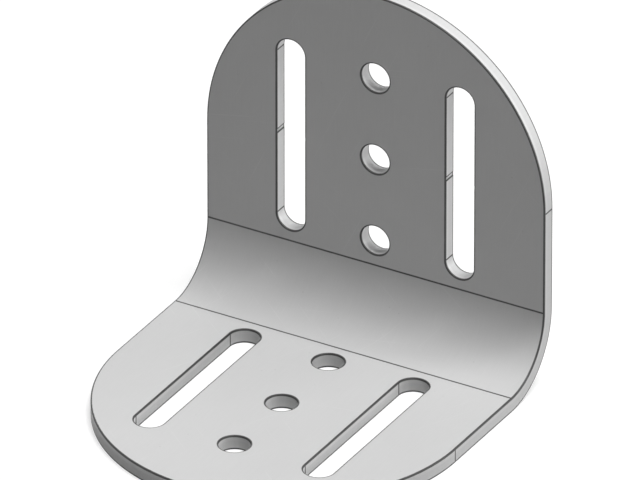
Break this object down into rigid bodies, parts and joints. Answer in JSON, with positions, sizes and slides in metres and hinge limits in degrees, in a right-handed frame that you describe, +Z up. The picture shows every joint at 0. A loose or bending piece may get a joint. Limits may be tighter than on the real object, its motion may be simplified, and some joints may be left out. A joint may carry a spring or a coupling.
{
  "type": "motor mounting bracket",
  "caption": "Square-folded plate bracket with two round-ended legs, each with a line of round holes between two long parallel slots, for mounting a motor adjustably.",
  "frame": {"origin": "on the surface the foot rests on, midway along the foot's overall length and midway across its width", "axes": "+X across the plate, +Y from the foot's tip to the back's rear face, +Z up along the back"},
  "size_m": [0.0762, 0.0762, 0.0762],
  "materials": {
    "plate": "satin zinc-plated, neutral light grey"
  },
  "bodies": {
    "root": {"bracket": "plate"}
  },
  "joints": []
}
